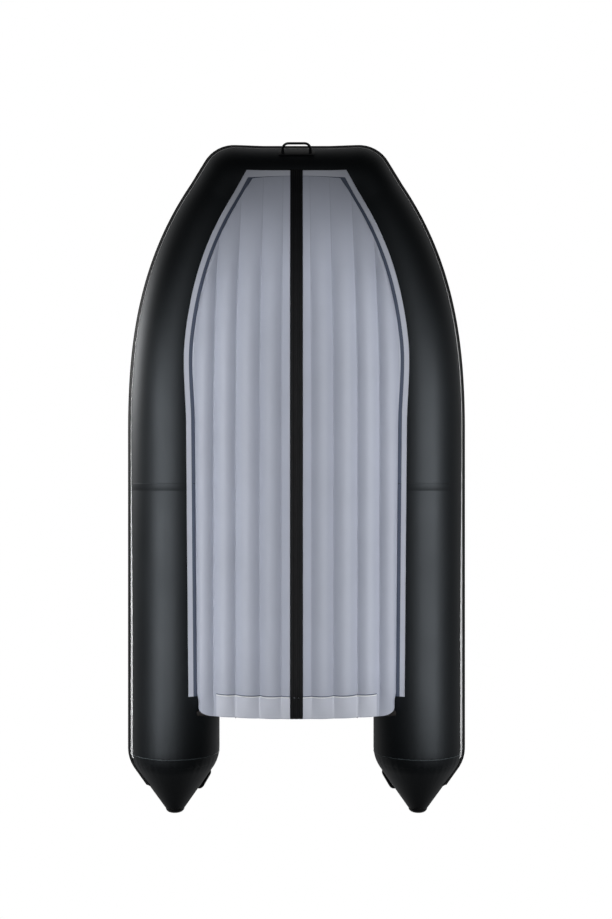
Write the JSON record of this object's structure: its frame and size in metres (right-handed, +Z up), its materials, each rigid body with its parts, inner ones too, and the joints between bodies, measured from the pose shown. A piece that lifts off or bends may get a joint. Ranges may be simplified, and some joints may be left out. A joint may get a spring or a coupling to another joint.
{
  "type": "inflatable boat",
  "caption": "Inflatable boat with a ribbed air floor, stern cones, transom, sliding benches and swivelling rowlocks.",
  "frame": {"origin": "on the ground under the middle of the boat, on its plane of symmetry", "axes": "+Z up, -Y towards the bow, +X to port"},
  "size_m": [1.8956, 3.8032, 0.6339],
  "materials": {
    "tube": "satin coated fabric",
    "bottom": "satin coated fabric",
    "flange": "satin coated fabric",
    "strake": "matte moulded",
    "tape": "satin coated fabric",
    "deck": "satin coated fabric",
    "moulded": "moulded",
    "plywood": "lacquered",
    "metal": "satin"
  },
  "bodies": {
    "hull": {"bow_chamber": "tube", "port_chamber": "tube", "starboard_chamber": "tube", "port_cone": "tube", "starboard_cone": "tube", "cone_caps": "moulded", "bottom": "bottom", "air_mat": "deck", "floor_flange": "flange", "keel_strip": "strake", "rear_band": "bottom", "rub_strake": "strake", "strake_tape": "tape", "transom": "plywood", "transom_holders": "strake", "outer_motor_pad": "moulded", "inner_motor_pad": "moulded", "drain_valve": "moulded", "tow_eyes": "metal", "port_rail": "strake", "starboard_rail": "strake", "rowlock_bases": "moulded", "air_valves": "moulded", "mat_valve": "moulded", "bow_handle": "moulded", "side_handles": "moulded", "cone_handles": "moulded"},
    "front_bench": {"front_bench": "plywood", "front_bench_runners": "moulded"},
    "rear_bench": {"rear_bench": "plywood", "rear_bench_runners": "moulded"},
    "port_rowlock": {"port_rowlock": "metal"},
    "starboard_rowlock": {"starboard_rowlock": "metal"}
  },
  "joints": [
    {"name": "front_bench_slide", "type": "slide", "parent": "hull", "child": "front_bench", "axis": [0, 1, 0], "range_m": [-0.18, 0.2]},
    {"name": "rear_bench_slide", "type": "slide", "parent": "hull", "child": "rear_bench", "axis": [0, 1, 0], "range_m": [-0.18, 0.17]},
    {"name": "port_rowlock_swivel", "type": "hinge", "parent": "hull", "child": "port_rowlock", "pos_m": [0.684, 0.42, 0.522], "axis": [0, 1, 0], "range_deg": [-50, 50]},
    {"name": "starboard_rowlock_swivel", "type": "hinge", "parent": "hull", "child": "starboard_rowlock", "pos_m": [-0.684, 0.42, 0.522], "axis": [0, 1, 0], "range_deg": [-50, 50]}
  ]
}
